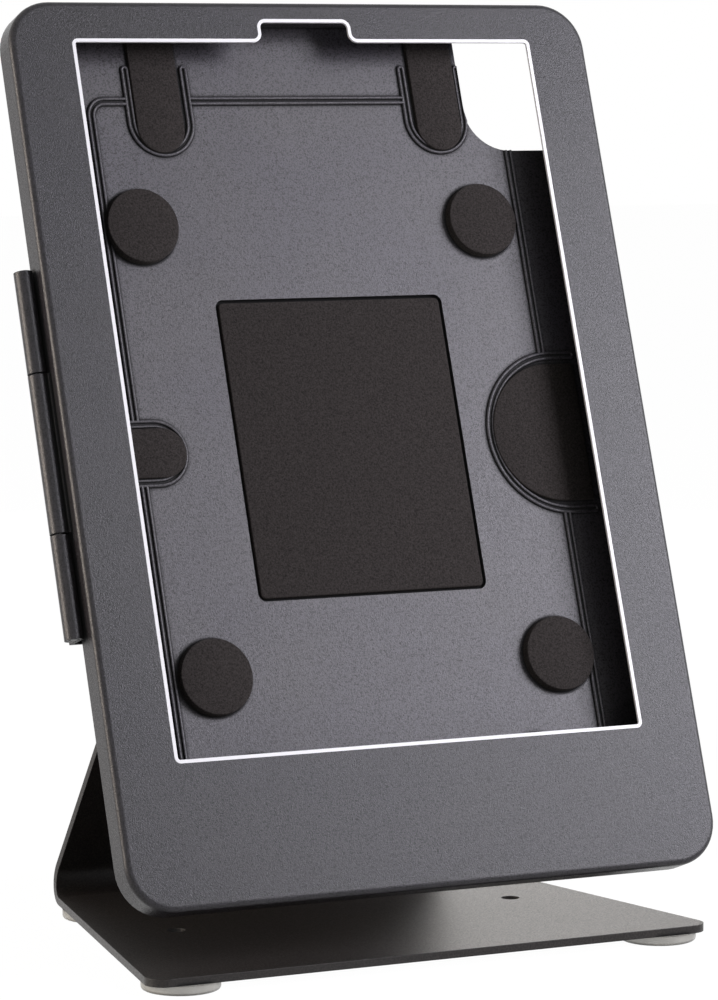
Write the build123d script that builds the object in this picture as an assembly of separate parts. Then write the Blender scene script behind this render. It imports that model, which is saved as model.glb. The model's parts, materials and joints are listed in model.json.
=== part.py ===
from build123d import *
import os
from math import cos, radians, sin, tan

# Counter-top kiosk stand for an 11-inch tablet.
# A hinged door with a window closes a shallow sheet case, and one folded steel ribbon carries the case.
# Millimetres. X goes right, Y back and Z up, seen from the front.
# The origin lies midway between the two counter screws, on the underside of the base.
# The case is drawn in a panel frame: x right, v up the door, n out of the door's face.

# Place of the panel
CASE_LEAN = 19.73
DOOR_LIFT = 18.93

# Door
DOOR_WIDTH = 204.6
DOOR_HEIGHT = 290.0
DOOR_DEPTH = 9.5
DOOR_CORNER = 15.0
DOOR_FOLD = 1.9
DOOR_SHEET = 1.5

# Window and its light trim
SIDE_BORDER = 20.8
TOP_BORDER = 12.6
BOTTOM_BORDER = 45.0
WINDOW_CORNER = 2.0
NOTCH_WIDTH = 33.3
NOTCH_HEIGHT = 6.75
NOTCH_CORNER = 3.0
TRIM_WIDTH = 1.1
TRIM_DEPTH = 0.9

# Foam gasket behind the door
GASKET_SETBACK = 2.5
GASKET_WIDTH = 4.5
GASKET_DEPTH = 1.5
GASKET_NOTCH_GAP = 3.0

# Rear case
CASE_GAP = 1.0
CASE_SHEET = 1.5
CASE_FLOOR = 12.0
CASE_FRONT_GAP = 0.5

# Pressed beads of the case
BEAD_WIDTH = 2.7
BEAD_HEIGHT = 0.8
BEAD_SIDE_INSET = 26.3
BEAD_END_INSET = 27.0
BEAD_CORNER = 5.0
BEAD_TAIL = 10.6
BEAD_ROOT = 0.3
BEAD_EASE = 0.1

# Pads in the case, with the small sideways shifts of pads that were laid by hand
STRIP_INSET = 24.3
STRIP_WIDTH = 16.3
STRIP_OUTSET = 0.55
STRIP_BEAD_RADIUS = 10.15
STRIP_DIP = 17.25
STRIP_DROP = 2.2
STRIP_END_GAP = 6.5
FLAT_FOAM = 1.2
LEFT_PAD_INSET = 5.5
LEFT_PAD_RADIUS = 8.0
LEFT_PAD_SHIFT = 2.2
LEFT_BEAD_RADIUS = 9.5
RIGHT_PAD_OUTSET = 2.8
RIGHT_PAD_RADIUS = 23.0
RIGHT_PAD_SHIFT = -2.2
RIGHT_PAD_RISE = 1.2
RIGHT_BEAD_RADIUS = 25.95
DISC_DIAMETER = 24.2
DISC_THICKNESS = 3.0
DISC_INSET = 13.1
DISC_DROP = 42.6
DISC_RISE = 0.65
UPPER_DISC_SHIFT = -1.7
LOWER_DISC_SHIFT = 1.0
STRIP_SHIFT = -0.55

# Centre pad and its recess
RECESS_WIDTH = 80.4
RECESS_HEIGHT = 98.2
RECESS_DEPTH = 1.5
RECESS_CORNER = 2.7
PAD_GAP = 1.0

# Camera cut-out in the case
CUTOUT_STRIP_GAP = 1.95
CUTOUT_SIDE_GAP = 9.8
CUTOUT_TOP_GAP = 4.5
CUTOUT_DIP = 17.65
CUTOUT_RADIUS = 15.1
CUTOUT_CORNER = 2.0

# Hinge
HINGE_OUTSET = 3.3
HINGE_DEPTH = 7.75
KNUCKLE_RADIUS = 2.96
PIN_RADIUS = 1.1
PIN_CLEARANCE = 0.05
HINGE_LENGTH = 116.8
MIDDLE_KNUCKLE = 50.4
KNUCKLE_GAP = 0.5
LEAF_THICKNESS = 1.0
LEAF_HEIGHT = 4.7
LEAF_INSET = 0.2
BRACKET_THICKNESS = 1.2
BRACKET_FOOT = 16.0

# Lock
LOCK_SIDE_INSET = 23.8
LOCK_END_INSET = 18.0
LOCK_RADIUS = 5.5
LOCK_FLAT_WIDTH = 9.6
LOCK_FLANGE_RADIUS = 8.0
LOCK_FLANGE = 2.0
LOCK_HOLE_CLEARANCE = 0.1
LOCK_NUT_ACROSS = 14.0
LOCK_NUT_HEIGHT = 2.5
LOCK_REACH = 4.4
PLUG_RADIUS = 3.6
PLUG_CLEARANCE = 0.05
PLUG_RECESS = 0.3
KEY_SLOT_LENGTH = 4.6
KEY_SLOT_WIDTH = 1.1
KEY_SLOT_DEPTH = 2.0
CAM_LENGTH = 14.0
CAM_WIDTH = 8.0
CAM_THICKNESS = 1.5
CAM_LIFT = 0.2
CAM_TENON = 4.0
CAM_SCREW_RADIUS = 1.25
CAM_SCREW_HEAD = 3.2
CAM_SCREW_HEAD_HEIGHT = 1.6
CAM_SCREW_LENGTH = 4.0
EDGE_BREAK = 0.5

# Catch on the door
CATCH_WIDTH = 12.0
CATCH_THICKNESS = 1.2
CATCH_LIP = 9.6
CATCH_FOOT = 13.6
CATCH_REACH = 17.6
CATCH_LIFT = 0.2

# Stand ribbon
PLATE = 2.5
PLATE_BEND = 6.5
BASE_FRONT = 66.4
BASE_BACK = 65.6
BASE_FRONT_WIDTH = 196.0
BASE_CORNER = 6.0
UPRIGHT_LEAN = 19.4
UPRIGHT_PLACE = 40.62
SIDE_TAPER_SHARE = 0.187
FRONT_LEG = 62.0
LEG_CORNER = 8.0
COUNTER_HOLE = 6.0
COUNTER_SPACING = 120.0

# Studs and nuts between case and stand
STUD_PAIR_WIDTH = 28.0
STUD_PAIR_HEIGHT = 40.0
STUD_CENTRE_DROP = 16.0
STUD_RADIUS = 2.5
STUD_HEAD_RADIUS = 3.5
STUD_HOLE_CLEARANCE = 0.25
STUD_PROJECTION = 1.0
NUT_ACROSS = 8.0
NUT_HEIGHT = 4.0

# Feet
FOOT_DIAMETER = 24.5
FOOT_HEIGHT = 3.0
FOOT_ROUND = 1.2
FRONT_FOOT_INSET = 14.8
FRONT_FOOT_SETBACK = 10.2
REAR_FOOT_INSET = 12.3
REAR_FOOT_SETBACK = 10.6

# Overrun of every cutting body past the face that it leaves
OVERRUN = 1.0

BEND_SECTIONS = 9

# Places worked out from the sizes above
LEAN = radians(CASE_LEAN)
CASE_RISE = DOOR_LIFT + DOOR_HEIGHT / 2 * cos(LEAN) + DOOR_DEPTH * sin(LEAN)
CASE_SETBACK = CASE_RISE * tan(radians(UPRIGHT_LEAN)) - UPRIGHT_PLACE
WINDOW_WIDTH = DOOR_WIDTH - 2 * SIDE_BORDER
WINDOW_HEIGHT = DOOR_HEIGHT - TOP_BORDER - BOTTOM_BORDER
WINDOW_OFFSET = (BOTTOM_BORDER - TOP_BORDER) / 2
WINDOW_TOP = WINDOW_OFFSET + WINDOW_HEIGHT / 2
CASE_WIDTH = DOOR_WIDTH - 2 * (DOOR_SHEET + CASE_GAP)
CASE_HEIGHT = DOOR_HEIGHT - 2 * (DOOR_SHEET + CASE_GAP)
CASE_BACK = CASE_FLOOR + CASE_SHEET
BOSS_BACK = CASE_BACK + RECESS_DEPTH
FRAME_SIDE = CASE_WIDTH / 2 - BEAD_SIDE_INSET
FRAME_TOP = CASE_HEIGHT / 2 - BEAD_END_INSET
STRIP_X = FRAME_SIDE - STRIP_INSET
LEFT_STRIP_X = STRIP_SHIFT - STRIP_X
RIGHT_STRIP_X = STRIP_SHIFT + STRIP_X
STRIP_CENTRE = FRAME_TOP - STRIP_DIP + STRIP_BEAD_RADIUS
LEFT_PAD_X = FRAME_SIDE - LEFT_PAD_INSET
RIGHT_PAD_X = FRAME_SIDE + RIGHT_PAD_OUTSET
CUTOUT_LOW = FRAME_TOP - CUTOUT_DIP
HINGE_X = DOOR_WIDTH / 2 + HINGE_OUTSET
LOCK_X = CASE_WIDTH / 2 - LOCK_SIDE_INSET
LOCK_DROP = CASE_HEIGHT / 2 - LOCK_END_INSET
LOCK_FRONT = CASE_FLOOR - LOCK_REACH
CAM_BACK = LOCK_FRONT - CAM_LIFT
CAM_FRONT = CAM_BACK - CAM_THICKNESS

PANEL = Plane(
    origin=(0, -CASE_SETBACK, CASE_RISE),
    x_dir=(1, 0, 0),
    z_dir=(0, -cos(LEAN), sin(LEAN)),
)


def on_panel(shape):
    """Carry a shape from the panel frame to its leaning place over the base."""
    return PANEL.location * shape


def slab(outline, front, back):
    """Outline extruded between two depths behind the door's face."""
    return extrude(Pos(0, 0, -back) * outline, back - front)


def along_hinge(section, low, high):
    """Section in x and n, extruded up the panel from one height to another."""
    return extrude(Plane.XZ.offset(-high) * section, high - low)


def pan(width, height, depth, corner, fold, sheet):
    """Folded sheet pan with its closed face at zero and its walls hanging from it."""
    outside = extrude(RectangleRounded(width, height, corner), -depth)
    outside = fillet(outside.faces().sort_by(Axis.Z)[-1].edges(), fold)
    hollow = extrude(RectangleRounded(width - 2 * sheet, height - 2 * sheet, corner - sheet), -depth)
    hollow = fillet(hollow.faces().sort_by(Axis.Z)[-1].edges(), fold - sheet)
    return outside - Pos(0, 0, -sheet) * hollow


def hexagon(across):
    """Hexagon with a given width across its flats."""
    return RegularPolygon(across / 2, side_count=6, major_radius=False)


def window_outline():
    """Rounded window with the camera notch in its upper edge."""
    window = Pos(0, WINDOW_OFFSET) * Rectangle(WINDOW_WIDTH, WINDOW_HEIGHT)
    notch = Pos(0, WINDOW_TOP) * Rectangle(NOTCH_WIDTH, 2 * NOTCH_HEIGHT)
    outline = window + notch
    upper = outline.vertices().sort_by(Axis.Y)[-2:]
    outline = fillet(upper, NOTCH_CORNER)
    lower = outline.vertices().filter_by(lambda corner: corner.Y < WINDOW_TOP + OVERRUN)
    return fillet(lower, WINDOW_CORNER)


def front_bezel():
    """Door pan with its window cut out."""
    door = pan(DOOR_WIDTH, DOOR_HEIGHT, DOOR_DEPTH, DOOR_CORNER, DOOR_FOLD, DOOR_SHEET)
    return door - slab(window_outline(), -OVERRUN, DOOR_SHEET + OVERRUN)


def window_trim():
    """Light strip that lines the cut edge of the window, flush with the door's face."""
    outline = window_outline()
    return slab(outline - offset(outline, -TRIM_WIDTH), 0, TRIM_DEPTH)


def bezel_gasket():
    """Foam ring behind the door, open at the camera notch."""
    inner_width = WINDOW_WIDTH + 2 * GASKET_SETBACK
    inner_height = WINDOW_HEIGHT + 2 * GASKET_SETBACK
    outer = Rectangle(inner_width + 2 * GASKET_WIDTH, inner_height + 2 * GASKET_WIDTH)
    ring = outer - Rectangle(inner_width, inner_height)
    gap = Rectangle(NOTCH_WIDTH + 2 * GASKET_NOTCH_GAP, 2 * (GASKET_SETBACK + GASKET_WIDTH) + OVERRUN)
    ring -= Pos(0, WINDOW_HEIGHT / 2) * gap
    return slab(Pos(0, WINDOW_OFFSET) * ring, DOOR_SHEET, DOOR_SHEET + GASKET_DEPTH)


def bead_section():
    """Section of a double bead: two round ridges with a shallow valley between them."""
    valley_share = 0.2
    dip_share = 0.25
    edge = BEAD_WIDTH / 2
    valley = valley_share * edge
    dip = dip_share * BEAD_HEIGHT
    crest = (edge + valley) / 2
    right_ridge = ThreePointArc((edge, 0), (crest, BEAD_HEIGHT), (valley, dip))
    floor = Line((valley, dip), (-valley, dip))
    left_ridge = ThreePointArc((-valley, dip), (-crest, BEAD_HEIGHT), (-edge, 0))
    root = Polyline((-edge, 0), (-edge, -BEAD_ROOT), (edge, -BEAD_ROOT), (edge, 0))
    return make_face(right_ridge + floor + left_ridge + root)


def bead(path):
    """Double bead swept along a path on the case floor."""
    travel = path % 0
    start = Plane(origin=path @ 0, x_dir=Vector(0, 0, 1).cross(travel), z_dir=travel)
    return sweep(start * bead_section(), path=path)


def bead_end(place):
    """Half-round end of a double bead that comes down to a place along the second axis."""
    half_section = bead_section() & Rectangle(BEAD_WIDTH, BEAD_WIDTH, align=(Align.MIN, Align.CENTER))
    turned_section = Plane(origin=place, x_dir=(1, 0, 0), z_dir=(0, -1, 0)) * half_section
    return revolve(turned_section, axis=Axis(place, (0, 0, 1)), revolution_arc=180)


def u_bead(x, v, turn, radius, arm):
    """Bead round a pad's half-round end, with two straight arms that end round."""
    down = Line((radius, arm), (radius, 0))
    bottom = ThreePointArc((radius, 0), (0, -radius), (-radius, 0))
    up = Line((-radius, 0), (-radius, arm))
    ridge = bead(Wire([down.edge(), bottom.edge(), up.edge()]))
    ridge += bead_end((radius, arm, 0))
    ridge += bead_end((-radius, arm, 0))
    return Pos(x, v) * Rot(0, 0, turn) * ridge


def frame_beads():
    """Straight beads that join the pads' beads, clockwise round the floor."""
    side = FRAME_SIDE
    top = FRAME_TOP
    seat_share = 0.35
    seat = seat_share * BEAD_WIDTH
    strip_stop = STRIP_BEAD_RADIUS + seat
    left_outer = LEFT_STRIP_X - strip_stop
    left_inner = LEFT_STRIP_X + strip_stop
    right_inner = RIGHT_STRIP_X - strip_stop
    right_outer = RIGHT_STRIP_X + strip_stop
    left_stop = LEFT_BEAD_RADIUS + seat
    right_stop = RIGHT_BEAD_RADIUS + seat
    rise = RIGHT_PAD_RISE
    corners = [
        [(-side, left_stop), (-side, top), (left_outer, top)],
        [(side, rise - right_stop), (side, -top), (right_outer, -top)],
        [(left_outer, -top), (-side, -top), (-side, -left_stop)],
    ]
    straights = [
        [(left_inner, top), (right_inner, top)],
        [(side, CUTOUT_LOW), (side, rise + right_stop)],
        [(right_inner, -top), (left_inner, -top)],
    ]
    paths = [FilletPolyline(*points, radius=BEAD_CORNER) for points in corners]
    paths += [Line(*points) for points in straights]
    return [bead(path) for path in paths]


def pad_beads():
    """Beads round the four strips and the two side pads."""
    strip_arm = FRAME_TOP + BEAD_TAIL - STRIP_CENTRE
    left_arm = FRAME_SIDE + BEAD_TAIL - LEFT_PAD_X
    right_arm = FRAME_SIDE + BEAD_TAIL - RIGHT_PAD_X
    beads = [
        u_bead(-LEFT_PAD_X, 0, 90, LEFT_BEAD_RADIUS, left_arm),
        u_bead(RIGHT_PAD_X, RIGHT_PAD_RISE, -90, RIGHT_BEAD_RADIUS, right_arm),
    ]
    for strip_x in (LEFT_STRIP_X, RIGHT_STRIP_X):
        beads.append(u_bead(strip_x, STRIP_CENTRE, 0, STRIP_BEAD_RADIUS, strip_arm))
        beads.append(u_bead(strip_x, -STRIP_CENTRE, 180, STRIP_BEAD_RADIUS, strip_arm))
    return beads


def camera_cutout():
    """Opening of the case behind the tablet's camera, with one large round corner."""
    left = RIGHT_STRIP_X + STRIP_OUTSET + STRIP_WIDTH / 2 + CUTOUT_STRIP_GAP
    width = CASE_WIDTH / 2 - CUTOUT_SIDE_GAP - left
    height = CASE_HEIGHT / 2 - CUTOUT_TOP_GAP - CUTOUT_LOW
    opening = Rectangle(width, height, align=(Align.MIN, Align.MIN))
    corners = opening.vertices().sort_by(Axis((0, 0, 0), (1, 1, 0)))
    opening = fillet(corners[0], CUTOUT_RADIUS)
    others = opening.vertices().sort_by(Axis((0, 0, 0), (1, 1, 0)))[2:]
    return Pos(left, CUTOUT_LOW) * fillet(others, CUTOUT_CORNER)


def stud_places():
    """Places of the four studs that hold the case to the stand."""
    return Pos(0, -STUD_CENTRE_DROP) * GridLocations(STUD_PAIR_WIDTH, STUD_PAIR_HEIGHT, 2, 2)


def lock_body(clearance=0):
    """Section of the lock barrel: round with two flats."""
    radius = LOCK_RADIUS + clearance
    return Circle(radius) & Rectangle(LOCK_FLAT_WIDTH + 2 * clearance, 2 * radius)


def rear_case():
    """Case pan with its beads, pad recess, camera cut-out, stud holes and lock hole."""
    corner = DOOR_CORNER - DOOR_SHEET - CASE_GAP
    depth = CASE_BACK - DOOR_SHEET - CASE_FRONT_GAP
    case = pan(CASE_WIDTH, CASE_HEIGHT, depth, corner, DOOR_FOLD, CASE_SHEET)
    case = Pos(0, 0, -CASE_BACK) * Rot(180, 0, 0) * case
    boss_width = RECESS_WIDTH + 2 * CASE_SHEET
    boss_height = RECESS_HEIGHT + 2 * CASE_SHEET
    boss = RectangleRounded(boss_width, boss_height, RECESS_CORNER + CASE_SHEET)
    recess = RectangleRounded(RECESS_WIDTH, RECESS_HEIGHT, RECESS_CORNER)
    case += slab(boss, CASE_BACK, BOSS_BACK)
    case -= slab(recess, CASE_FLOOR - OVERRUN, CASE_FLOOR + RECESS_DEPTH)
    for ridge in pad_beads() + frame_beads():
        case += Pos(0, 0, -CASE_FLOOR) * ridge
    case -= slab(camera_cutout(), CASE_FLOOR - OVERRUN, CASE_BACK + OVERRUN)
    for place in stud_places():
        case -= slab(place * Circle(STUD_HEAD_RADIUS), CASE_FLOOR, BOSS_BACK + OVERRUN)
    lock_hole = Pos(LOCK_X, -LOCK_DROP) * lock_body(LOCK_HOLE_CLEARANCE)
    return case - slab(lock_hole, CASE_FLOOR - OVERRUN, CASE_BACK + OVERRUN)


def foam_disc(across, up):
    """Round foam pad on the case floor, pressed over the bead where it reaches it."""
    shift = UPPER_DISC_SHIFT if up > 0 else LOWER_DISC_SHIFT
    place = Pos(across * (FRAME_SIDE - DISC_INSET) + shift, up * (FRAME_TOP - DISC_DROP) + DISC_RISE)
    disc = slab(place * Circle(DISC_DIAMETER / 2), CASE_FLOOR - DISC_THICKNESS, CASE_FLOOR)
    under = Pos(across * FRAME_SIDE, up * FRAME_TOP) * Rectangle(BEAD_WIDTH + 2 * BEAD_EASE, 2 * FRAME_TOP)
    return disc - slab(under, CASE_FLOOR - BEAD_HEIGHT - BEAD_EASE, CASE_FLOOR + OVERRUN)


def centre_pad():
    """Large foam pad that fills the recess up to the floor."""
    outline = RectangleRounded(
        RECESS_WIDTH - 2 * PAD_GAP, RECESS_HEIGHT - 2 * PAD_GAP, RECESS_CORNER - PAD_GAP
    )
    return slab(outline, CASE_FLOOR, CASE_FLOOR + RECESS_DEPTH)


def round_ended(radius, length):
    """Outline with a half-round lower end about the origin and straight sides."""
    sides = Rectangle(2 * radius, length, align=(Align.CENTER, Align.MIN))
    below = Rectangle(2 * radius, radius, align=(Align.CENTER, Align.MAX))
    return (Circle(radius) & below) + sides


def under_bead(radius, length):
    """Outline of the floor that a bead with a half-round end takes up."""
    half_width = BEAD_WIDTH / 2 + BEAD_EASE
    return round_ended(radius + half_width, length) - round_ended(radius - half_width, length + OVERRUN)


def laid_foam(outline, bead_outline):
    """Flat foam on the case floor, pressed over the bead where it reaches it."""
    foam = slab(outline, CASE_FLOOR - FLAT_FOAM, CASE_FLOOR)
    return foam - slab(bead_outline, CASE_FLOOR - BEAD_HEIGHT - BEAD_EASE, CASE_FLOOR + OVERRUN)


def foam_strip(across, up):
    """Foam strip with a half-round inner end."""
    strip_x = LEFT_STRIP_X if across < 0 else RIGHT_STRIP_X
    place = Pos(strip_x, up * STRIP_CENTRE) * Rot(0, 0, 0 if up > 0 else 180)
    length = CASE_HEIGHT / 2 - STRIP_END_GAP - STRIP_CENTRE
    moved = Pos(across * STRIP_OUTSET, -up * STRIP_DROP) * place
    outline = moved * round_ended(STRIP_WIDTH / 2, length + STRIP_DROP)
    arm = FRAME_TOP + BEAD_TAIL - STRIP_CENTRE + BEAD_WIDTH / 2
    return laid_foam(outline, place * under_bead(STRIP_BEAD_RADIUS, arm))


def side_pad(across):
    """Half-round foam pad at the middle of one side."""
    left = across < 0
    radius = LEFT_PAD_RADIUS if left else RIGHT_PAD_RADIUS
    bead_radius = LEFT_BEAD_RADIUS if left else RIGHT_BEAD_RADIUS
    centre = LEFT_PAD_X if left else RIGHT_PAD_X
    shift = LEFT_PAD_SHIFT if left else RIGHT_PAD_SHIFT
    rise = 0 if left else RIGHT_PAD_RISE
    arm = FRAME_SIDE + BEAD_TAIL - centre
    place = Pos(across * centre, rise) * Rot(0, 0, -90 * across)
    outline = Pos(shift, 0) * place * round_ended(radius, arm - across * shift)
    return laid_foam(outline, place * under_bead(bead_radius, arm + BEAD_WIDTH / 2))


def knuckle(bore):
    """Round knuckle section at the hinge axis."""
    return Pos(-HINGE_X, -HINGE_DEPTH) * (Circle(KNUCKLE_RADIUS) - Circle(bore))


def hinge_knuckle_door():
    """Middle knuckle with the leaf that is welded to the door's side."""
    bore = PIN_RADIUS + PIN_CLEARANCE
    leaf = Rectangle(LEAF_THICKNESS, LEAF_HEIGHT, align=(Align.MAX, Align.MIN))
    section = knuckle(bore) + Pos(-DOOR_WIDTH / 2, LEAF_INSET - DOOR_DEPTH) * leaf
    section -= Pos(-HINGE_X, -HINGE_DEPTH) * Circle(bore)
    return along_hinge(section, -MIDDLE_KNUCKLE / 2, MIDDLE_KNUCKLE / 2)


def hinge_bracket(up):
    """Outer knuckle with an angle that passes behind the door's edge to the back of the case."""
    web_left = -HINGE_X + (HINGE_OUTSET - LEAF_THICKNESS) / 2
    foot_back = CASE_BACK + BRACKET_THICKNESS
    web = Rectangle(BRACKET_THICKNESS, foot_back - HINGE_DEPTH, align=(Align.MIN, Align.MAX))
    foot = Rectangle(BRACKET_FOOT, BRACKET_THICKNESS, align=(Align.MIN, Align.MIN))
    section = knuckle(PIN_RADIUS) + Pos(web_left, -HINGE_DEPTH) * web + Pos(web_left, -foot_back) * foot
    section -= Pos(-HINGE_X, -HINGE_DEPTH) * Circle(PIN_RADIUS)
    inner = MIDDLE_KNUCKLE / 2 + KNUCKLE_GAP
    outer = HINGE_LENGTH / 2
    return along_hinge(section, inner, outer) if up > 0 else along_hinge(section, -outer, -inner)


def hinge_pin():
    """Pin through the three knuckles."""
    return along_hinge(Pos(-HINGE_X, -HINGE_DEPTH) * Circle(PIN_RADIUS), -HINGE_LENGTH / 2, HINGE_LENGTH / 2)


def at_lock(shape):
    """Carry a shape to the lock's axis."""
    return Pos(LOCK_X, -LOCK_DROP) * shape


def lock_barrel():
    """Fixed barrel of the lock with its flange behind the case."""
    flange_back = CASE_BACK + LOCK_FLANGE
    flange = slab(Circle(LOCK_FLANGE_RADIUS), CASE_BACK, flange_back)
    flange = chamfer(flange.faces().sort_by(Axis.Z)[0].edges(), EDGE_BREAK)
    barrel = flange + slab(lock_body(), LOCK_FRONT, CASE_BACK)
    bore = slab(Circle(PLUG_RADIUS + PLUG_CLEARANCE), LOCK_FRONT - OVERRUN, flange_back + OVERRUN)
    return at_lock(barrel - bore)


def lock_nut():
    """Nut that clamps the barrel to the case floor."""
    ring = hexagon(LOCK_NUT_ACROSS) - lock_body()
    return at_lock(slab(ring, CASE_FLOOR - LOCK_NUT_HEIGHT, CASE_FLOOR))


def lock_plug():
    """Turning plug with a key slot behind and a square tenon for the cam in front."""
    back = CASE_BACK + LOCK_FLANGE - PLUG_RECESS
    plug = slab(Circle(PLUG_RADIUS), CAM_BACK, back)
    plug += slab(Rectangle(CAM_TENON, CAM_TENON), CAM_FRONT, CAM_BACK)
    plug -= slab(Rectangle(KEY_SLOT_WIDTH, KEY_SLOT_LENGTH), back - KEY_SLOT_DEPTH, back + OVERRUN)
    plug -= slab(Circle(CAM_SCREW_RADIUS), CAM_FRONT - OVERRUN, CAM_FRONT + CAM_SCREW_LENGTH)
    return at_lock(plug)


def lock_cam():
    """Cam that hangs down when the lock is open."""
    arm = CAM_LENGTH - CAM_WIDTH / 2
    outline = SlotCenterToCenter(arm, CAM_WIDTH, rotation=90)
    outline = Pos(0, -arm / 2) * outline - Rectangle(CAM_TENON, CAM_TENON)
    return at_lock(slab(outline, CAM_FRONT, CAM_BACK))


def cam_screw():
    """Screw that holds the cam on the plug."""
    head = slab(Circle(CAM_SCREW_HEAD), CAM_FRONT - CAM_SCREW_HEAD_HEIGHT, CAM_FRONT)
    head = fillet(head.faces().sort_by(Axis.Z)[-1].edges(), EDGE_BREAK)
    return at_lock(head + slab(Circle(CAM_SCREW_RADIUS), CAM_FRONT, CAM_FRONT + CAM_SCREW_LENGTH))


def latch_catch():
    """Folded catch behind the door: the cam goes under its lip."""
    web_right = LOCK_X + CATCH_REACH
    lip_back = CAM_FRONT - CATCH_LIFT
    web_height = lip_back - DOOR_SHEET
    corner = (Align.MAX, Align.MAX)
    foot = Rectangle(CATCH_FOOT, CATCH_THICKNESS, align=corner)
    web = Rectangle(CATCH_THICKNESS, web_height, align=corner)
    lip = Rectangle(CATCH_LIP, CATCH_THICKNESS, align=(Align.MAX, Align.MIN))
    section = Pos(web_right, -DOOR_SHEET) * (foot + web) + Pos(web_right, -lip_back) * lip
    return along_hinge(section, -LOCK_DROP - CATCH_WIDTH / 2, -LOCK_DROP + CATCH_WIDTH / 2)


def taper(half, length):
    """Half width of the ribbon after a length of it."""
    return half - SIDE_TAPER_SHARE * length


def flat_stretch(length, half):
    """Outline of a flat stretch of the ribbon, lying along the second axis."""
    end = taper(half, length)
    return Polygon((-half, 0), (half, 0), (end, length), (-end, length), align=None)


def sheet(start, outline):
    """Ribbon outline given its thickness and laid where the ribbon has come to."""
    plane = Plane(origin=start.origin, x_dir=start.x_dir, z_dir=start.x_dir.cross(start.z_dir))
    return plane * extrude(outline, PLATE / 2, both=True)


def turned(start, angle):
    """Section plane after the ribbon has bent through an angle in degrees."""
    radius = PLATE_BEND + PLATE / 2
    swing = radians(angle)
    travel = start.z_dir * cos(swing) + start.y_dir * sin(swing)
    centre = start.origin + start.y_dir * radius
    origin = centre - (start.y_dir * cos(swing) - start.z_dir * sin(swing)) * radius
    return Plane(origin=origin, x_dir=start.x_dir, z_dir=travel)


def bend(start, angle, half):
    """Bent stretch of the ribbon, narrowing as it goes round."""
    sections = []
    for step in range(BEND_SECTIONS):
        swing = angle * step / (BEND_SECTIONS - 1)
        gone = (PLATE_BEND + PLATE / 2) * radians(swing)
        sections.append(turned(start, swing) * Rectangle(2 * taper(half, gone), PLATE))
    return loft(sections)


def upright_length(foot, hairpin):
    """Length of upright that lays the front leg flat against the back of the case."""
    top = turned(foot, hairpin)
    leg_depth = BOSS_BACK + PLATE / 2
    here = PANEL.to_local_coords(top.origin).Z
    return (-leg_depth - here) / foot.z_dir.dot(PANEL.z_dir)


def stand_plate():
    """Straight-sided blank folded into base, upright and front leg."""
    middle = PLATE_BEND + PLATE / 2
    half = BASE_FRONT_WIDTH / 2
    place = Plane(origin=(0, -BASE_FRONT, PLATE / 2), x_dir=(-1, 0, 0), z_dir=(0, 1, 0))
    base_length = BASE_FRONT + BASE_BACK
    outline = flat_stretch(base_length, half)
    outline = fillet(outline.vertices().sort_by(Axis.Y)[:2], BASE_CORNER)
    stand = sheet(place, outline)
    half = taper(half, base_length)

    place = place.offset(base_length)
    rear_bend = 90 + UPRIGHT_LEAN
    stand += bend(place, rear_bend, half)
    half = taper(half, middle * radians(rear_bend))

    place = turned(place, rear_bend)
    hairpin = 180 - UPRIGHT_LEAN - CASE_LEAN
    upright = upright_length(place, hairpin)
    stand += sheet(place, flat_stretch(upright, half))
    half = taper(half, upright)

    place = place.offset(upright)
    stand += bend(place, hairpin, half)
    half = taper(half, middle * radians(hairpin))

    place = turned(place, hairpin)
    outline = flat_stretch(FRONT_LEG, half)
    outline = fillet(outline.vertices().sort_by(Axis.Y)[-2:], LEG_CORNER)
    stand += sheet(place, outline)

    for place in GridLocations(COUNTER_SPACING, 0, 2, 1):
        stand -= place * Cylinder(COUNTER_HOLE / 2, 2 * (PLATE + OVERRUN))
    for place in stud_places():
        hole = place * Circle(STUD_RADIUS + STUD_HOLE_CLEARANCE)
        stand -= on_panel(slab(hole, BOSS_BACK - OVERRUN, BOSS_BACK + PLATE + OVERRUN))
    return stand


def case_studs():
    """Four studs with heads flush in the recess and shanks through the stand."""
    end = BOSS_BACK + PLATE + NUT_HEIGHT + STUD_PROJECTION
    studs = []
    for place in stud_places():
        head = slab(place * Circle(STUD_HEAD_RADIUS), CASE_FLOOR + RECESS_DEPTH, BOSS_BACK)
        shank = slab(place * Circle(STUD_RADIUS), BOSS_BACK, end)
        shank = chamfer(shank.faces().sort_by(Axis.Z)[0].edges(), EDGE_BREAK)
        studs.append(head + shank)
    return Compound(studs)


def stud_nuts():
    """Four nuts behind the front leg of the stand."""
    back = BOSS_BACK + PLATE
    ring = hexagon(NUT_ACROSS) - Circle(STUD_RADIUS)
    return Compound([slab(place * ring, back, back + NUT_HEIGHT) for place in stud_places()])


def foot(across, front):
    """Clear round bumper under the base."""
    y = FRONT_FOOT_SETBACK - BASE_FRONT if front else BASE_BACK - REAR_FOOT_SETBACK
    edge = BASE_FRONT_WIDTH / 2 if front else taper(BASE_FRONT_WIDTH / 2, BASE_FRONT + y)
    x = edge - FRONT_FOOT_INSET if front else edge - REAR_FOOT_INSET
    bumper = Pos(across * x, y, -FOOT_HEIGHT / 2) * Cylinder(FOOT_DIAMETER / 2, FOOT_HEIGHT)
    return fillet(bumper.faces().sort_by(Axis.Z)[0].edges(), FOOT_ROUND)


SIDES = (("left", -1), ("right", 1))

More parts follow.
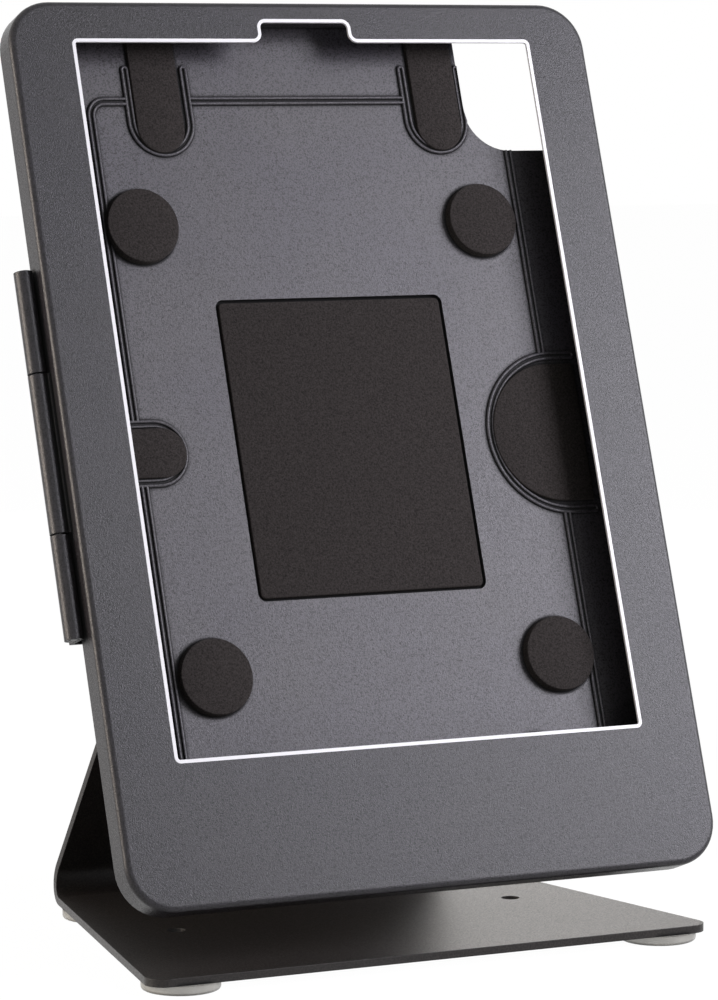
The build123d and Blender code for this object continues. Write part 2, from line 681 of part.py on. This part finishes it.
parts = {
    "front_bezel": on_panel(front_bezel()),
    "window_trim": on_panel(window_trim()),
    "bezel_gasket": on_panel(bezel_gasket()),
    "rear_case": on_panel(rear_case()),
    "centre_pad": on_panel(centre_pad()),
    "hinge_knuckle_door": on_panel(hinge_knuckle_door()),
    "hinge_bracket_upper": on_panel(hinge_bracket(1)),
    "hinge_bracket_lower": on_panel(hinge_bracket(-1)),
    "hinge_pin": on_panel(hinge_pin()),
    "lock_barrel": on_panel(lock_barrel()),
    "lock_nut": on_panel(lock_nut()),
    "lock_plug": on_panel(lock_plug()),
    "lock_cam": on_panel(lock_cam()),
    "cam_screw": on_panel(cam_screw()),
    "latch_catch": on_panel(latch_catch()),
    "case_studs": on_panel(case_studs()),
    "stud_nuts": on_panel(stud_nuts()),
    "stand_plate": stand_plate(),
}
for side, across in SIDES:
    parts[f"side_pad_{side}"] = on_panel(side_pad(across))
    parts[f"foot_front_{side}"] = foot(across, True)
    parts[f"foot_rear_{side}"] = foot(across, False)
    for level, up in (("upper", 1), ("lower", -1)):
        parts[f"foam_disc_{level}_{side}"] = on_panel(foam_disc(across, up))
        parts[f"foam_strip_{level}_{side}"] = on_panel(foam_strip(across, up))

os.makedirs("parts", exist_ok=True)
for name, shape in parts.items():
    export_step(shape, f"parts/{name}.step")
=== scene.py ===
import bpy
import bmesh
import json
from math import cos, radians, sin
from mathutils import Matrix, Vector


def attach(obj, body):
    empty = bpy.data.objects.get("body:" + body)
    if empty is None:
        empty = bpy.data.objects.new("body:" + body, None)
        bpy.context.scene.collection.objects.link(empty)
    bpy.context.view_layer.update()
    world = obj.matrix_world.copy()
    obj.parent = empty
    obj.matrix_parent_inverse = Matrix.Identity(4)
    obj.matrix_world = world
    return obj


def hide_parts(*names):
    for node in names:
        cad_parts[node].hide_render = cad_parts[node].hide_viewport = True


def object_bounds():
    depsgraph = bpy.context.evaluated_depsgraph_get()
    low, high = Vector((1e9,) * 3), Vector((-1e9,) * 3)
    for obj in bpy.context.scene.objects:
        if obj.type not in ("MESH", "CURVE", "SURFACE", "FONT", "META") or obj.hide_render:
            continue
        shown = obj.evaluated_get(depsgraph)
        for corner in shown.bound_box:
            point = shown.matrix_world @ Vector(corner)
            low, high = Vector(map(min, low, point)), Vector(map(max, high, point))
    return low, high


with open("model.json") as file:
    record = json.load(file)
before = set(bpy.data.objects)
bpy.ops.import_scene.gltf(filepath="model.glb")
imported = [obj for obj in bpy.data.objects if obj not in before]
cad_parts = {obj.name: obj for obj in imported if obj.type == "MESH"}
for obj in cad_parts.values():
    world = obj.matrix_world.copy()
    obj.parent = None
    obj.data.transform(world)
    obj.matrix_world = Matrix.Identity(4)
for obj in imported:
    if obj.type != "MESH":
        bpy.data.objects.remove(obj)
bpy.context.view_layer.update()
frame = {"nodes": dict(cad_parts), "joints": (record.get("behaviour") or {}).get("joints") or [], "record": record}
nodes = frame["nodes"]
MM = 0.001

# Camera of the photograph, in metres, with its focal length in pixels of the 718 by 1000 picture
CAMERA_PLACE = Vector((-0.60106, -1.22933, 0.27665))
CAMERA_AZIMUTH = radians(26.227)
CAMERA_DIP = radians(5.842)
FOCAL_PIXELS = 4305.3
PICTURE_HEIGHT = 1000
SENSOR = 36.0
CLIP_NEAR = 0.05
CLIP_FAR = 50

# The door's hinge gives the leaning panel frame: x right, v up the door, n out of its face
HINGE_X = -105.6 * MM
HINGE_N = -7.75 * MM
hinge = next(joint for joint in frame["joints"] if joint["name"] == "door_hinge")
RIGHT = Vector((1, 0, 0))
UP = -Vector(hinge["axis"]).normalized()
OUT = RIGHT.cross(UP)
PANEL_ORIGIN = Vector(hinge["pos_m"]) - RIGHT * HINGE_X - OUT * HINGE_N

# Materials: noise scales are per metre, and spans are the noise values that a ramp goes between
COAT_GRAIN = {"scale": 1700, "detail": 2.0, "roughness": 0.6}
COAT_FINE_GRAIN = {"scale": 2600, "detail": 2.0, "roughness": 0.7}
COAT_CLOUD = {"scale": 22, "detail": 2.0, "roughness": 0.5}
COAT_PITS = {"scale": 1250, "detail": 1.0, "roughness": 0.5}
GRAIN_SPAN = (0.38, 0.64)
CLOUD_SPAN = (0.35, 0.65)
PIT_SPAN = (0.66, 0.72)
CLOUD_SHADES = ((0.92, 0.9, 0.96), (1.0, 0.98, 0.98))
PIT_SHADES = ((1, 1, 1), (0.3, 0.3, 0.3))
GLOSS_SPAN = (0.34, 0.66)
SATIN_ROUGHNESS = (0.345, 0.255)
STAND_ROUGHNESS = (0.44, 0.34)
COAT_SPECULAR = 0.3
COAT_BUMP = {"strength": 0.6, "distance": 0.15 * MM}
# Painted shade: ambient occlusion darkens the coat's colour in creases and at the roots of beads, and also dulls
# its roughness there
CREASE_REACH = 1.5 * MM
CREASE_SAMPLES = 8
CREASE_PAINTED_SHADE_SPAN = (0.7, 0.97)
CREASE_PAINTED_SHADES = ((0.02, 0.02, 0.02), (1, 1, 1))
CREASE_ROUGHNESS_SPAN = (0.7, 1.0)
CREASE_ROUGHNESS = (0.9, 0.2)
EDGE_ROUND = 0.4 * MM
BEAD_EDGE_ROUND = 0.12 * MM
EDGE_SAMPLES = 4
DOOR_SHADES = ((0.0078, 0.0075, 0.0084), (0.0425, 0.0408, 0.0455))
CASE_SHADES = ((0.031, 0.0297, 0.0325), (0.096, 0.092, 0.1005))
STAND_SHADES = ((0.008, 0.007, 0.006), (0.032, 0.028, 0.025))

FOAM_GRAIN = {"scale": 1700, "detail": 4.0, "roughness": 0.75}
FOAM_SPAN = (0.34, 0.66)
FOAM_SHADES = ((0.018, 0.016, 0.015), (0.058, 0.051, 0.048))
FOAM_ROUGHNESS = 0.95
FOAM_SPECULAR = 0.1
FOAM_BUMP = {"strength": 0.5, "distance": 0.3 * MM}

WIDE_SPAN = (0.3, 0.7)
# Window trim: its near-white colour is a painted reflection, standing for the bright glint along the window's edge
TRIM_GLINT_GRAIN = {"scale": 600, "detail": 2.0, "roughness": 0.6}
TRIM_PAINTED_GLINT_SHADES = ((0.93, 0.93, 0.93), (0.97, 0.97, 0.97))
TRIM_ROUGHNESS = 0.4

ZINC_GRAIN = {"scale": 500, "detail": 4.0, "roughness": 0.6}
ZINC_SHADES = ((0.42, 0.42, 0.43), (0.56, 0.56, 0.57))
ZINC_ROUGHNESS = 0.35
ZINC_BUMP = {"strength": 0.15, "distance": 0.1 * MM}

CHROME_MARKS = {"scale": 900, "detail": 5.0, "roughness": 0.6}
CHROME_SPAN = (0.2, 0.8)
CHROME_SHADES = ((0.62, 0.62, 0.63), (0.72, 0.72, 0.73))
CHROME_ROUGHNESS = 0.14

RUBBER_CLOUD = {"scale": 120, "detail": 2.0, "roughness": 0.6}
RUBBER_SHADES = ((0.32, 0.31, 0.28), (0.42, 0.41, 0.37))
RUBBER_ROUGHNESS = 0.3
RUBBER_CLARITY = 0.5
RUBBER_IOR = 1.45

# Foam pieces
FOAM_EDGE = 0.45 * MM
FOAM_EDGE_STEPS = 3
FOAM_CREASE = radians(50)
ARC_STEPS = 40
CORNER_STEPS = 8
PAD_CORNER = 1.7 * MM
GASKET_WIDTH = 4.5 * MM
GASKET_GAP = 39.3 * MM

# Studio
WORLD_LEVEL = 0.1
FLOOR_SIZE = 6.0
FLOOR_COLOUR = (0.55, 0.55, 0.55, 1)
FLOOR_GLOW = 1.07
FLOOR_SHADE = 0.08
LAMPS = (
    {
        "name": "key",
        "place": (0.86, -0.83, 0.65),
        "aim": (0, 0, 0.15),
        "size": 0.7,
        "power": 19.6,
        "tint": (0.93, 0.915, 1),
    },
    {
        "name": "side",
        "place": (-1.26, 0.25, 0.4),
        "aim": (-0.1, 0, 0.15),
        "size": 0.6,
        "power": 15,
        "tint": (1, 0.88, 0.77),
    },
    {
        "name": "back",
        "place": (0.6, 1.1, 0.25),
        "aim": (0.05, 0, 0),
        "size": 0.5,
        "power": 1.2,
        "tint": (1, 0.95, 0.9),
    },
)


def panel_point(x, v, n):
    """Point of the panel frame, in the part's own frame."""
    return PANEL_ORIGIN + RIGHT * x + UP * v + OUT * n


def panel_box(node):
    """Lowest and highest x, v and n of a CAD node in the panel frame."""
    places = []
    for vertex in nodes[node].data.vertices:
        offset = vertex.co - PANEL_ORIGIN
        places.append((offset.dot(RIGHT), offset.dot(UP), offset.dot(OUT)))
    return [min(axis) for axis in zip(*places)], [max(axis) for axis in zip(*places)]


def new_material(name):
    """Node material with its Principled shader and its object coordinates."""
    material = bpy.data.materials.new(name)
    material.use_nodes = True
    tree = material.node_tree
    shader = tree.nodes["Principled BSDF"]
    where = tree.nodes.new("ShaderNodeTexCoord").outputs["Object"]
    return material, tree, shader, where


def noise(tree, where, scale, detail, roughness):
    """Noise texture over the object's own coordinates."""
    node = tree.nodes.new("ShaderNodeTexNoise")
    node.inputs["Scale"].default_value = scale
    node.inputs["Detail"].default_value = detail
    node.inputs["Roughness"].default_value = roughness
    tree.links.new(where, node.inputs["Vector"])
    return node.outputs["Fac"]


def ramp(tree, factor, span, shades):
    """Colour that goes from the first shade to the second as a factor goes through its span."""
    node = tree.nodes.new("ShaderNodeValToRGB")
    for element, position, shade in zip(node.color_ramp.elements, span, shades):
        element.position = position
        element.color = (*shade, 1)
    tree.links.new(factor, node.inputs["Fac"])
    return node.outputs["Color"]


def rescale(tree, factor, span, values):
    """Number that goes from the first value to the second as a factor goes through its span."""
    node = tree.nodes.new("ShaderNodeMapRange")
    node.inputs["From Min"].default_value = span[0]
    node.inputs["From Max"].default_value = span[1]
    node.inputs["To Min"].default_value = values[0]
    node.inputs["To Max"].default_value = values[1]
    tree.links.new(factor, node.inputs["Value"])
    return node.outputs["Result"]


def larger(tree, first, second):
    """Larger of two numbers."""
    node = tree.nodes.new("ShaderNodeMath")
    node.operation = "MAXIMUM"
    tree.links.new(first, node.inputs[0])
    tree.links.new(second, node.inputs[1])
    return node.outputs[0]


def multiply(tree, first, second):
    """Product of two colours."""
    node = tree.nodes.new("ShaderNodeMix")
    node.data_type = "RGBA"
    node.blend_type = "MULTIPLY"
    node.inputs["Factor"].default_value = 1
    tree.links.new(first, node.inputs["A"])
    tree.links.new(second, node.inputs["B"])
    return node.outputs["Result"]


def bump(tree, height, strength, distance):
    """Bump node that turns a height into a normal."""
    node = tree.nodes.new("ShaderNodeBump")
    node.inputs["Strength"].default_value = strength
    node.inputs["Distance"].default_value = distance
    tree.links.new(height, node.inputs["Height"])
    return node


def crease_light(tree):
    """How open the surface is: 1 on a plain face, less in a crease."""
    node = tree.nodes.new("ShaderNodeAmbientOcclusion")
    node.samples = CREASE_SAMPLES
    node.inputs["Distance"].default_value = CREASE_REACH
    return node.outputs["AO"]


def coat_colour(tree, where, grain, openness, shades):
    """Speckled colour with small pits and faint cloudiness, with painted shade darkening the creases."""
    pits = ramp(tree, noise(tree, where, **COAT_PITS), PIT_SPAN, PIT_SHADES)
    speckle = multiply(tree, ramp(tree, grain, GRAIN_SPAN, shades), pits)
    tint = ramp(tree, noise(tree, where, **COAT_CLOUD), CLOUD_SPAN, CLOUD_SHADES)
    # painted shade: the colour is darkened where ambient occlusion finds a crease
    creases = ramp(tree, openness, CREASE_PAINTED_SHADE_SPAN, CREASE_PAINTED_SHADES)
    return multiply(tree, multiply(tree, speckle, tint), creases)


def coat_roughness(tree, grain, openness, roughness):
    """Satin that varies with the grain and turns dull in creases."""
    gloss = rescale(tree, grain, GLOSS_SPAN, roughness)
    dull = rescale(tree, openness, CREASE_ROUGHNESS_SPAN, CREASE_ROUGHNESS)
    return larger(tree, gloss, dull)


def coat_normal(tree, where, edge_round):
    """Fine orange peel over softened edges."""
    soft_edge = tree.nodes.new("ShaderNodeBevel")
    soft_edge.samples = EDGE_SAMPLES
    soft_edge.inputs["Radius"].default_value = edge_round
    peel = bump(tree, noise(tree, where, **COAT_FINE_GRAIN), **COAT_BUMP)
    tree.links.new(soft_edge.outputs["Normal"], peel.inputs["Normal"])
    return peel.outputs["Normal"]


def powder_coat(name, shades, roughness, edge_round):
    """Black powder coat over steel sheet."""
    material, tree, shader, where = new_material(name)
    grain = noise(tree, where, **COAT_GRAIN)
    openness = crease_light(tree)
    tree.links.new(coat_colour(tree, where, grain, openness, shades), shader.inputs["Base Color"])
    tree.links.new(coat_roughness(tree, grain, openness, roughness), shader.inputs["Roughness"])
    tree.links.new(coat_normal(tree, where, edge_round), shader.inputs["Normal"])
    shader.inputs["Specular IOR Level"].default_value = COAT_SPECULAR
    return material


def black_foam():
    """Warm black closed-cell foam with fine open pores."""
    material, tree, shader, where = new_material("black_foam")
    grain = noise(tree, where, **FOAM_GRAIN)
    tree.links.new(ramp(tree, grain, FOAM_SPAN, FOAM_SHADES), shader.inputs["Base Color"])
    tree.links.new(bump(tree, grain, **FOAM_BUMP).outputs["Normal"], shader.inputs["Normal"])
    shader.inputs["Roughness"].default_value = FOAM_ROUGHNESS
    shader.inputs["Specular IOR Level"].default_value = FOAM_SPECULAR
    return material


def white_plastic():
    """Satin white of the window trim ring, a painted reflection: its near-white colour stands for the bright glint
    along the window's edge.
    """
    material, tree, shader, where = new_material("white_plastic")
    grain = noise(tree, where, **TRIM_GLINT_GRAIN)
    tree.links.new(ramp(tree, grain, WIDE_SPAN, TRIM_PAINTED_GLINT_SHADES), shader.inputs["Base Color"])
    shader.inputs["Roughness"].default_value = TRIM_ROUGHNESS
    return material


def zinc_steel():
    """Zinc-plated steel with a faint uneven sheen."""
    material, tree, shader, where = new_material("zinc_steel")
    grain = noise(tree, where, **ZINC_GRAIN)
    tree.links.new(ramp(tree, grain, WIDE_SPAN, ZINC_SHADES), shader.inputs["Base Color"])
    tree.links.new(bump(tree, grain, **ZINC_BUMP).outputs["Normal"], shader.inputs["Normal"])
    shader.inputs["Metallic"].default_value = 1
    shader.inputs["Roughness"].default_value = ZINC_ROUGHNESS
    return material


def chrome():
    """Polished chrome of the lock with light handling marks."""
    material, tree, shader, where = new_material("chrome")
    marks = noise(tree, where, **CHROME_MARKS)
    tree.links.new(ramp(tree, marks, CHROME_SPAN, CHROME_SHADES), shader.inputs["Base Color"])
    shader.inputs["Metallic"].default_value = 1
    shader.inputs["Roughness"].default_value = CHROME_ROUGHNESS
    return material


def clear_rubber():
    """Milky clear rubber of the bumper feet."""
    material, tree, shader, where = new_material("clear_rubber")
    cloud = noise(tree, where, **RUBBER_CLOUD)
    tree.links.new(ramp(tree, cloud, WIDE_SPAN, RUBBER_SHADES), shader.inputs["Base Color"])
    shader.inputs["Roughness"].default_value = RUBBER_ROUGHNESS
    shader.inputs["Transmission Weight"].default_value = RUBBER_CLARITY
    shader.inputs["IOR"].default_value = RUBBER_IOR
    return material


SLOT_MATERIALS = {
    "powder_coat": powder_coat("powder_coat", DOOR_SHADES, SATIN_ROUGHNESS, EDGE_ROUND),
    "black_foam": black_foam(),
    # the window trim's near-white colour is a painted reflection of its bright edge
    "white_plastic": white_plastic(),
    "zinc_steel": zinc_steel(),
    "chrome": chrome(),
    "clear_rubber": clear_rubber(),
}
NODE_MATERIALS = {
    "rear_case": powder_coat("powder_coat_case", CASE_SHADES, SATIN_ROUGHNESS, BEAD_EDGE_ROUND),
    "stand_plate": powder_coat("powder_coat_stand", STAND_SHADES, STAND_ROUGHNESS, EDGE_ROUND),
}


def dress_nodes():
    """Gives each CAD node its own material, or that of its slot."""
    for part in frame["record"]["subparts"]:
        mesh = nodes[part["node"]].data
        mesh.materials.clear()
        mesh.materials.append(NODE_MATERIALS.get(part["node"], SLOT_MATERIALS[part["material_slot"]]))


def arc(x, v, radius, start, end, steps=ARC_STEPS):
    """Points of an arc round x and v, angles in degrees."""
    points = []
    for step in range(steps + 1):
        angle = radians(start + (end - start) * step / steps)
        points.append((x + radius * cos(angle), v + radius * sin(angle)))
    return points


def foam_mesh(name, outline, back, front):
    """Mesh cut to an outline in the panel frame, with softly rounded front edges."""
    mesh = bmesh.new()
    face = mesh.faces.new([mesh.verts.new(panel_point(x, v, back)) for x, v in outline])
    raised = bmesh.ops.extrude_face_region(mesh, geom=[face])
    top = {item for item in raised["geom"] if isinstance(item, bmesh.types.BMVert)}
    bmesh.ops.translate(mesh, verts=list(top), vec=OUT * (front - back))
    bmesh.ops.recalc_face_normals(mesh, faces=mesh.faces)
    rim = [edge for edge in mesh.edges if top.issuperset(edge.verts)]
    bmesh.ops.bevel(
        mesh,
        geom=rim,
        offset=min(FOAM_EDGE, (front - back) / 2),
        offset_type="OFFSET",
        segments=FOAM_EDGE_STEPS,
        profile=0.5,
        affect="EDGES",
    )
    data = bpy.data.meshes.new(name)
    mesh.to_mesh(data)
    mesh.free()
    for polygon in data.polygons:
        polygon.use_smooth = True
    data.set_sharp_from_angle(angle=FOAM_CREASE)
    return data


def node_body(node):
    """Body that a CAD node belongs to."""
    bodies = frame["record"]["behaviour"]["bodies"]
    return next(body for body, members in bodies.items() if node in members)


def foam_piece(node, outline):
    """Foam that stands for a CAD node, as deep as that node is."""
    low, high = panel_box(node)
    name = node + "_foam"
    data = foam_mesh(name, outline, low[2], high[2])
    data.materials.append(SLOT_MATERIALS["black_foam"])
    piece = bpy.data.objects.new(name, data)
    bpy.context.scene.collection.objects.link(piece)
    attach(piece, node_body(node))
    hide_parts(node)


def add_disc(node):
    """Round pad."""
    low, high = panel_box(node)
    radius = (high[0] - low[0]) / 2
    outline = arc((low[0] + high[0]) / 2, (low[1] + high[1]) / 2, radius, 0, 360, 2 * ARC_STEPS)
    foam_piece(node, outline[:-1])


def add_round_ended(node, towards):
    """Pad with one half-round end. Its straight sides run towards an angle, away from that end."""
    low, high = panel_box(node)
    sizes = (high[0] - low[0], high[1] - low[1])
    width, reach = sizes if towards in (90, 270) else reversed(sizes)
    radius = width / 2
    length = reach - radius
    along = Vector((cos(radians(towards)), sin(radians(towards))))
    across = Vector((-along.y, along.x))
    middle = Vector(((low[0] + high[0]) / 2, (low[1] + high[1]) / 2))
    centre = middle - along * (length - radius) / 2
    outline = arc(*centre, radius, towards + 90, towards + 270)
    for side in (-1, 1):
        corner = centre + across * radius * side + along * length
        outline.append((corner.x, corner.y))
    foam_piece(node, outline)


def add_rounded_rectangle(node, corner):
    """Pad with four rounded corners."""
    low, high = panel_box(node)
    left, right = low[0] + corner, high[0] - corner
    bottom, top = low[1] + corner, high[1] - corner
    outline = []
    for x, v, start in ((right, top, 0), (left, top, 90), (left, bottom, 180), (right, bottom, 270)):
        outline += arc(x, v, corner, start, start + 90, CORNER_STEPS)
    foam_piece(node, outline)


def add_gasket(node, width):
    """Foam ring behind the door, open at the camera notch."""
    (left, bottom, _), (right, top, _) = panel_box(node)
    gap = GASKET_GAP / 2
    outer = [(gap, top), (right, top), (right, bottom), (left, bottom), (left, top), (-gap, top)]
    inner_left, inner_right = left + width, right - width
    inner_bottom, inner_top = bottom + width, top - width
    inner = [(-gap, inner_top), (inner_left, inner_top), (inner_left, inner_bottom)]
    inner += [(inner_right, inner_bottom), (inner_right, inner_top), (gap, inner_top)]
    foam_piece(node, outer + inner)


def add_foam():
    """All the foam of the case and the door."""
    for side in ("left", "right"):
        for level, towards in (("upper", 90), ("lower", 270)):
            add_disc(f"foam_disc_{level}_{side}")
            add_round_ended(f"foam_strip_{level}_{side}", towards)
    add_round_ended("side_pad_left", 180)
    add_round_ended("side_pad_right", 0)
    add_rounded_rectangle("centre_pad", PAD_CORNER)
    add_gasket("bezel_gasket", GASKET_WIDTH)


def add_camera():
    """Camera at the photograph's place."""
    data = bpy.data.cameras.new("camera")
    data.sensor_width = SENSOR
    data.lens = FOCAL_PIXELS * SENSOR / PICTURE_HEIGHT
    data.clip_start = CLIP_NEAR
    data.clip_end = CLIP_FAR
    camera = bpy.data.objects.new("camera", data)
    bpy.context.scene.collection.objects.link(camera)
    level = cos(CAMERA_DIP)
    look = Vector((sin(CAMERA_AZIMUTH) * level, cos(CAMERA_AZIMUTH) * level, -sin(CAMERA_DIP)))
    camera.location = CAMERA_PLACE
    camera.rotation_mode = "QUATERNION"
    camera.rotation_quaternion = look.to_track_quat("-Z", "Y")
    bpy.context.scene.camera = camera


def add_lamp(name, place, aim, size, power, tint):
    """Square soft lamp at a place, turned to a point."""
    data = bpy.data.lights.new(name, "AREA")
    data.size = size
    data.energy = power
    data.color = tint
    lamp = bpy.data.objects.new(name, data)
    lamp.location = place
    lamp.rotation_mode = "QUATERNION"
    lamp.rotation_quaternion = (Vector(aim) - Vector(place)).to_track_quat("-Z", "Y")
    bpy.context.scene.collection.objects.link(lamp)


def seen_rays(tree):
    """One where a ray comes straight from the camera, a reflection or a see-through surface."""
    rays = tree.nodes.new("ShaderNodeLightPath").outputs
    mirrored = larger(tree, rays["Is Glossy Ray"], rays["Is Transmission Ray"])
    return larger(tree, rays["Is Camera Ray"], mirrored)


def add_world():
    """White surroundings, and a plain level of light from all round."""
    world = bpy.data.worlds.new("studio")
    bpy.context.scene.world = world
    world.use_nodes = True
    tree = world.node_tree
    shader = tree.nodes["Background"]
    shader.inputs["Color"].default_value = (1, 1, 1, 1)
    strength = rescale(tree, seen_rays(tree), (0, 1), (WORLD_LEVEL, 1))
    tree.links.new(strength, shader.inputs["Strength"])


def floor_material():
    """Pale floor that keeps the object's shadow and is seen as white."""
    material = bpy.data.materials.new("floor")
    material.use_nodes = True
    tree = material.node_tree
    diffuse = tree.nodes["Principled BSDF"]
    diffuse.inputs["Base Color"].default_value = FLOOR_COLOUR
    diffuse.inputs["Roughness"].default_value = 1
    diffuse.inputs["Specular IOR Level"].default_value = 0
    glow = tree.nodes.new("ShaderNodeEmission")
    glow.inputs["Strength"].default_value = FLOOR_GLOW
    mix = tree.nodes.new("ShaderNodeMixShader")
    tree.links.new(rescale(tree, seen_rays(tree), (0, 1), (0, 1 - FLOOR_SHADE)), mix.inputs["Fac"])
    tree.links.new(diffuse.outputs["BSDF"], mix.inputs[1])
    tree.links.new(glow.outputs["Emission"], mix.inputs[2])
    tree.links.new(mix.outputs["Shader"], tree.nodes["Material Output"].inputs["Surface"])
    return material


def add_floor():
    """Floor under the feet."""
    low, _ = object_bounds()
    mesh = bmesh.new()
    bmesh.ops.create_grid(mesh, x_segments=1, y_segments=1, size=FLOOR_SIZE)
    data = bpy.data.meshes.new("floor")
    mesh.to_mesh(data)
    mesh.free()
    data.materials.append(floor_material())
    floor = bpy.data.objects.new("floor", data)
    floor.location.z = low.z
    bpy.context.scene.collection.objects.link(floor)


add_camera()
dress_nodes()
add_foam()
add_world()
add_floor()
for lamp in LAMPS:
    add_lamp(**lamp)
bpy.context.scene.view_settings.view_transform = "Standard"
